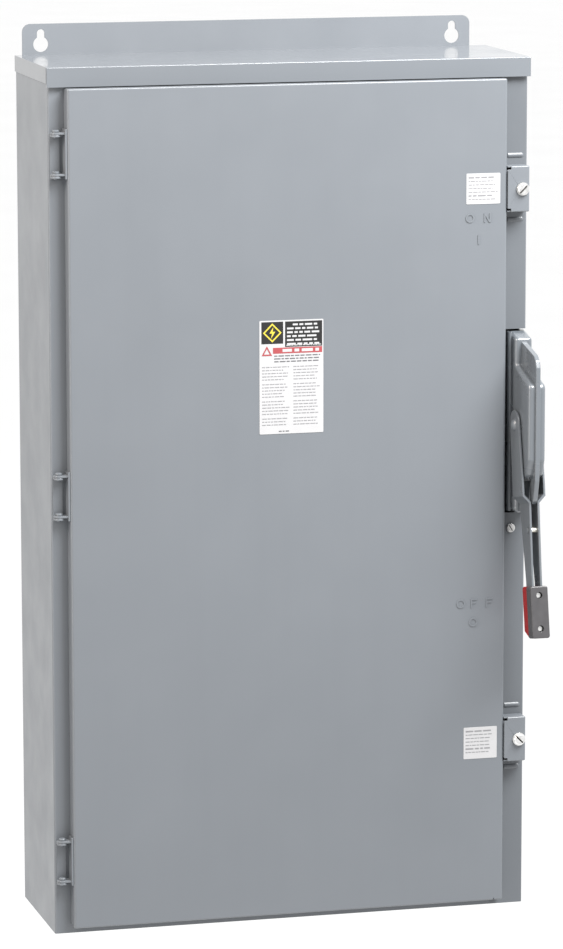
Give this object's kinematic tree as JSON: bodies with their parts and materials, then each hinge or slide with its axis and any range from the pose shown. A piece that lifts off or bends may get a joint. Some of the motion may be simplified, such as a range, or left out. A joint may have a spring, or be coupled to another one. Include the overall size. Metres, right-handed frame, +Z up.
{
  "type": "ac disconnect box",
  "caption": "Wall-mounted rainproof steel disconnect box with a hinged door, a side lever that throws the switch blades, and cartridge fuses inside.",
  "frame": {"origin": "middle of the case's flat back, on the wall plane", "axes": "+X to the right seen from the front, +Y into the wall, +Z up; the door faces -Y"},
  "size_m": [0.7148, 0.3371, 1.2895],
  "materials": {
    "enclosure_paint": "satin grey enamel",
    "housing_paint": "gloss grey enamel over die cast metal",
    "zinc": "zinc plated",
    "spring_steel": "satin",
    "copper": "satin copper",
    "brass_caps": "satin",
    "fuse_tube": "matt",
    "moulding": "matt moulded",
    "crossbar_red": "matt moulded",
    "fibre": "matt fibre board",
    "lug_aluminium": "tin plated",
    "screw_steel": "plain",
    "clear_sheet": "clear",
    "grip_black": "semi gloss",
    "grip_red": "semi gloss",
    "label_film": "matt film"
  },
  "bodies": {
    "enclosure": {"back_panel": "enclosure_paint", "left_side_panel": "enclosure_paint", "right_side_panel": "enclosure_paint", "top_wall": "enclosure_paint", "bottom_wall": "enclosure_paint", "rain_hood": "enclosure_paint", "hinge_ears": "enclosure_paint", "hinge_pins": "zinc", "latch_nuts": "zinc", "handle_housing": "housing_paint", "handle_baffle": "fibre", "mechanism_frame": "zinc", "toggle_spring": "spring_steel", "crossbar_bearings": "zinc", "line_base": "moulding", "load_base": "moulding", "lower_base": "moulding", "line_jaws": "copper", "load_jaws": "copper", "upper_fuse_clips": "copper", "lower_fuse_clips": "copper", "fuse_bodies": "fuse_tube", "fuse_caps": "brass_caps", "fuse_blades": "copper", "line_lugs": "lug_aluminium", "load_lugs": "lug_aluminium", "line_lug_screws": "screw_steel", "load_lug_screws": "screw_steel", "arc_fins": "spring_steel", "arc_chute_sides": "fibre", "line_shield": "clear_sheet", "ground_bar": "lug_aluminium", "ground_screws": "zinc", "ground_lug": "lug_aluminium", "base_screws": "zinc"},
    "door": {"door": "enclosure_paint", "door_stiffeners": "enclosure_paint", "hinge_straps": "enclosure_paint", "latch_brackets": "enclosure_paint", "door_hook": "zinc", "nameplate": "label_film", "latch_labels": "label_film", "wiring_label": "label_film"},
    "upper_bolt": {"upper_latch_bolt": "zinc"},
    "lower_bolt": {"lower_latch_bolt": "zinc"},
    "release": {"release_screw": "zinc"},
    "handle": {"left_lever_arm": "housing_paint", "right_lever_arm": "housing_paint", "pivot_bolt": "zinc", "cross_pin": "zinc", "grip_front": "grip_black", "grip_rear": "grip_red", "grip_screws": "zinc", "handle_crank": "zinc"},
    "link": {"drive_link": "zinc"},
    "drive": {"throw_crank": "zinc"},
    "rotor": {"crossbar": "crossbar_red", "switch_blades": "copper"},
    "interlock": {"interlock_lever": "zinc"}
  },
  "joints": [
    {"name": "door_hinge", "type": "hinge", "parent": "enclosure", "child": "door", "pos_m": [-0.342, -0.227, 0], "axis": [0, 0, -1], "range_deg": [0, 165]},
    {"name": "upper_latch_turn", "type": "hinge", "parent": "door", "child": "upper_bolt", "pos_m": [0.337, -0.24, 0.435], "axis": [0, -1, 0], "range_deg": [0, 180]},
    {"name": "lower_latch_turn", "type": "hinge", "parent": "door", "child": "lower_bolt", "pos_m": [0.337, -0.24, -0.371], "axis": [0, -1, 0], "range_deg": [0, 180]},
    {"name": "interlock_release", "type": "hinge", "parent": "enclosure", "child": "release", "pos_m": [0.3295, -0.217, -0.0615], "axis": [0, -1, 0], "range_deg": [0, 90]},
    {"name": "handle_throw", "type": "hinge", "parent": "enclosure", "child": "handle", "pos_m": [0.3395, -0.254, 0.096], "axis": [-1, 0, 0], "range_deg": [0, 149]},
    {"name": "link_turn", "type": "hinge", "parent": "handle", "child": "link", "pos_m": [0.345, -0.24828, 0.12545], "axis": [1, 0, 0], "range_deg": [0, 149]},
    {"name": "drive_turn", "type": "hinge", "parent": "enclosure", "child": "drive", "pos_m": [0.32, -0.12, 0.084], "axis": [-1, 0, 0], "range_deg": [0, 149]},
    {"name": "blade_turn", "type": "hinge", "parent": "enclosure", "child": "rotor", "pos_m": [0, -0.12, 0.084], "axis": [-1, 0, 0], "range_deg": [0, 55]},
    {"name": "interlock_turn", "type": "hinge", "parent": "enclosure", "child": "interlock", "pos_m": [0.298, -0.136, -0.03], "axis": [1, 0, 0], "range_deg": [0, 25]}
  ],
  "couplings": [
    {"joint": "link_turn", "follows": "handle_throw", "ratio": 1},
    {"joint": "drive_turn", "follows": "handle_throw", "ratio": 1},
    {"joint": "blade_turn", "follows": "handle_throw", "ratio": 0.36913},
    {"joint": "interlock_turn", "follows": "handle_throw", "ratio": 0.16778}
  ]
}
